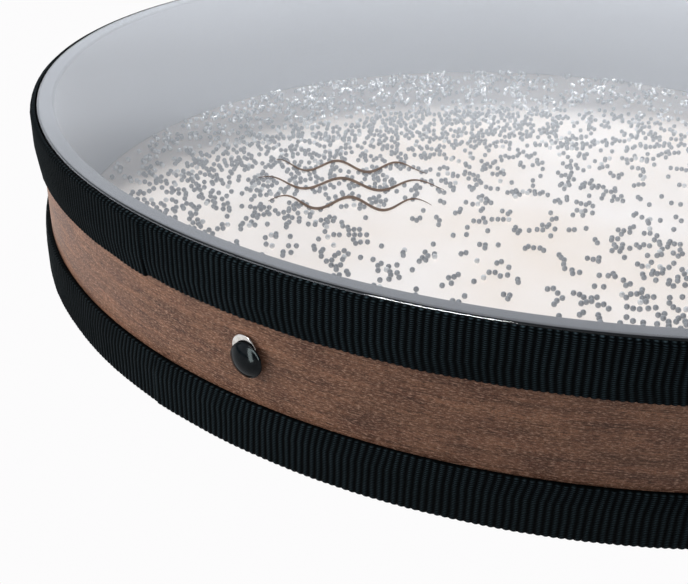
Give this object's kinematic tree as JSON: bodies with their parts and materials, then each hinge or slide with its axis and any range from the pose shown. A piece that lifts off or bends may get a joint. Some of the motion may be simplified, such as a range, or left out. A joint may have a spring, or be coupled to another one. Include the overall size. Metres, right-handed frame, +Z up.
{
  "type": "wave drum",
  "caption": "Shallow wooden hoop drum with a clear upper head, cream lower head, ribbed rim tapes, loose beads rolling inside and a plugged filling port in its side.",
  "frame": {"origin": "under the drum's centre, on the surface that it stands on", "axes": "+Z up along the hoop's axis, the filling port faces -Y"},
  "size_m": [0.5666, 0.5681, 0.081],
  "materials": {
    "walnut_shell": "satin stain",
    "clear_film": "clear gloss",
    "cream_skin": "smooth matte",
    "black_webbing": "ribbed weave",
    "bright_nickel": "polished",
    "black_plug": "gloss",
    "bead_steel": "polished",
    "bead_glass": "clear gloss"
  },
  "bodies": {
    "drum": {"bottom_head": "cream_skin", "bottom_webbing": "black_webbing", "port_eyelet": "bright_nickel", "port_washer": "bright_nickel", "shell": "walnut_shell", "top_head": "clear_film", "top_webbing": "black_webbing"},
    "plug": {"port_plug": "black_plug"},
    "inner_beads": {"clear_beads_inner": "bead_glass", "steel_beads_inner_01": "bead_steel", "steel_beads_inner_02": "bead_steel", "steel_beads_inner_03": "bead_steel", "steel_beads_inner_04": "bead_steel"},
    "middle_beads": {"clear_beads_middle": "bead_glass", "steel_beads_middle_01": "bead_steel", "steel_beads_middle_02": "bead_steel", "steel_beads_middle_03": "bead_steel", "steel_beads_middle_04": "bead_steel", "steel_beads_middle_05": "bead_steel", "steel_beads_middle_06": "bead_steel", "steel_beads_middle_07": "bead_steel", "steel_beads_middle_08": "bead_steel", "steel_beads_middle_09": "bead_steel"},
    "outer_beads": {"clear_beads_outer": "bead_glass", "steel_beads_outer_01": "bead_steel", "steel_beads_outer_02": "bead_steel", "steel_beads_outer_03": "bead_steel", "steel_beads_outer_04": "bead_steel", "steel_beads_outer_05": "bead_steel", "steel_beads_outer_06": "bead_steel", "steel_beads_outer_07": "bead_steel", "steel_beads_outer_08": "bead_steel", "steel_beads_outer_09": "bead_steel", "steel_beads_outer_10": "bead_steel", "steel_beads_outer_11": "bead_steel", "steel_beads_outer_12": "bead_steel", "steel_beads_outer_13": "bead_steel"}
  },
  "joints": [
    {"name": "port_plug_pull", "type": "slide", "parent": "drum", "child": "plug", "axis": [0, -1, 0], "range_m": [0, 0.02]},
    {"name": "inner_beads_swirl", "type": "hinge", "parent": "drum", "child": "inner_beads", "pos_m": [0, 0, 0], "axis": [0, 0, 1], "continuous": true},
    {"name": "middle_beads_swirl", "type": "hinge", "parent": "drum", "child": "middle_beads", "pos_m": [0, 0, 0], "axis": [0, 0, 1], "continuous": true},
    {"name": "outer_beads_swirl", "type": "hinge", "parent": "drum", "child": "outer_beads", "pos_m": [0, 0, 0], "axis": [0, 0, 1], "continuous": true}
  ]
}
